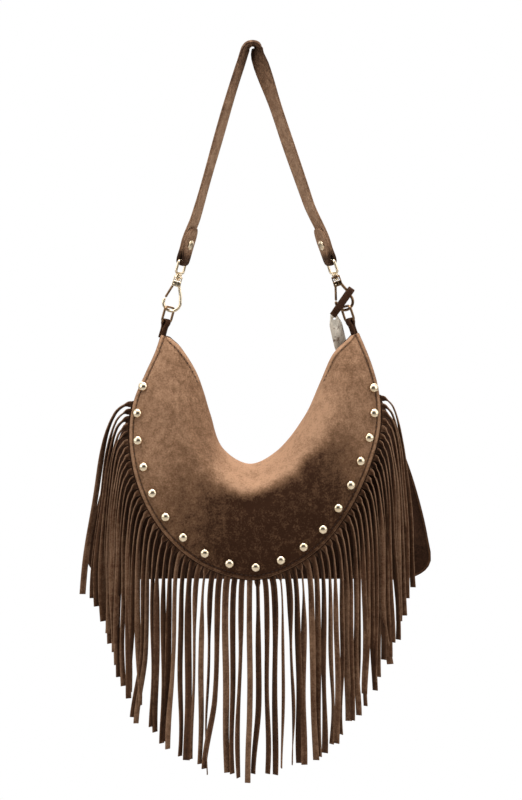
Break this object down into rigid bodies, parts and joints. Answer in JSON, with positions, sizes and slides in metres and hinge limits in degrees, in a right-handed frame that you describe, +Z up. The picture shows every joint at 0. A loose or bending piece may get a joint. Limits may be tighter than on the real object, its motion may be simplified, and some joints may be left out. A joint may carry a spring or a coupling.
{
  "type": "fringed suede shoulder bag",
  "caption": "Slouchy suede shoulder bag with a studded crescent flap, long cut fringe and a strap on swivel snap hooks.",
  "frame": {"origin": "top of the strap, where a peg or a shoulder holds the bag", "axes": "+Z up along the hanging bag, -Y towards the flap and fringe, +X to the right of the front view"},
  "size_m": [0.3563, 0.099, 0.7605],
  "materials": {
    "strap_suede": "matte napped suede, mid brown",
    "flap_suede": "matte napped suede, tan brown, darker where the nap lies down",
    "body_suede": "matte napped suede, dark brown",
    "fringe_suede": "matte napped suede, dark brown with paler cut edges",
    "lining_cloth": "plain woven cotton",
    "gold_metal": "polished pale gold plate",
    "dark_metal": "polished plate, darker bronze tone",
    "tag_leather": "blank pale leather, smooth"
  },
  "bodies": {
    "root": {"shoulder_strap": "strap_suede", "rivet_cap_left": "gold_metal", "rivet_cap_right": "gold_metal", "rivet_post_left": "gold_metal", "rivet_post_right": "gold_metal", "swivel_eye_left": "gold_metal", "swivel_eye_right": "gold_metal", "ring_tab_left": "body_suede", "ring_tab_right": "body_suede", "front_flap": "flap_suede", "front_panel": "body_suede", "back_panel": "body_suede", "lining_front": "lining_cloth", "lining_back": "lining_cloth", "fringe": "fringe_suede", "stud_01": "gold_metal", "stud_02": "gold_metal", "stud_03": "gold_metal", "stud_04": "gold_metal", "stud_05": "gold_metal", "stud_06": "gold_metal", "stud_07": "gold_metal", "stud_08": "gold_metal", "stud_09": "gold_metal", "stud_10": "gold_metal", "stud_11": "gold_metal", "stud_12": "gold_metal", "stud_13": "gold_metal", "stud_14": "gold_metal", "stud_15": "gold_metal", "stud_16": "gold_metal", "stud_17": "gold_metal", "stud_18": "gold_metal", "stud_19": "gold_metal", "snap_stud": "gold_metal", "snap_cup": "gold_metal", "tag_strip": "body_suede", "hang_tag": "tag_leather"},
    "hook_left": {"hook_body_left": "gold_metal", "gate_pin_left": "gold_metal", "gate_spring_left": "dark_metal"},
    "gate_left": {"hook_gate_left": "dark_metal"},
    "ring_left": {"bag_ring_left": "dark_metal"},
    "hook_right": {"hook_body_right": "gold_metal", "gate_pin_right": "gold_metal", "gate_spring_right": "dark_metal"},
    "gate_right": {"hook_gate_right": "dark_metal"},
    "ring_right": {"bag_ring_right": "dark_metal"}
  },
  "joints": [
    {"name": "swivel_left", "type": "hinge", "parent": "root", "child": "hook_left", "pos_m": [-0.07834, 0, -0.24527], "axis": [0.2672, 0, 0.9636], "range_deg": [-15, 15]},
    {"name": "gate_left_hinge", "type": "hinge", "parent": "hook_left", "child": "gate_left", "pos_m": [-0.08224, 0, -0.24959], "axis": [0, -1, 0], "range_deg": [0, 24], "stiffness_Nm_per_rad": 0.02, "springref_deg": -11.46},
    {"name": "ring_left_hinge", "type": "hinge", "parent": "root", "child": "ring_left", "pos_m": [-0.09075, 0, -0.28998], "axis": [0.4818, 0.866, -0.1336], "range_deg": [-3, 3]},
    {"name": "swivel_right", "type": "hinge", "parent": "root", "child": "hook_right", "pos_m": [0.08735, 0, -0.24497], "axis": [-0.3173, 0, 0.9483], "range_deg": [-15, 15]},
    {"name": "gate_right_hinge", "type": "hinge", "parent": "hook_right", "child": "gate_right", "pos_m": [0.08653, 0, -0.25072], "axis": [0, -1, 0], "range_deg": [0, 24], "stiffness_Nm_per_rad": 0.02, "springref_deg": -11.46},
    {"name": "ring_right_hinge", "type": "hinge", "parent": "root", "child": "ring_right", "pos_m": [0.10207, 0, -0.28897], "axis": [-0.4742, 0.866, -0.1587], "range_deg": [-3, 3]}
  ]
}
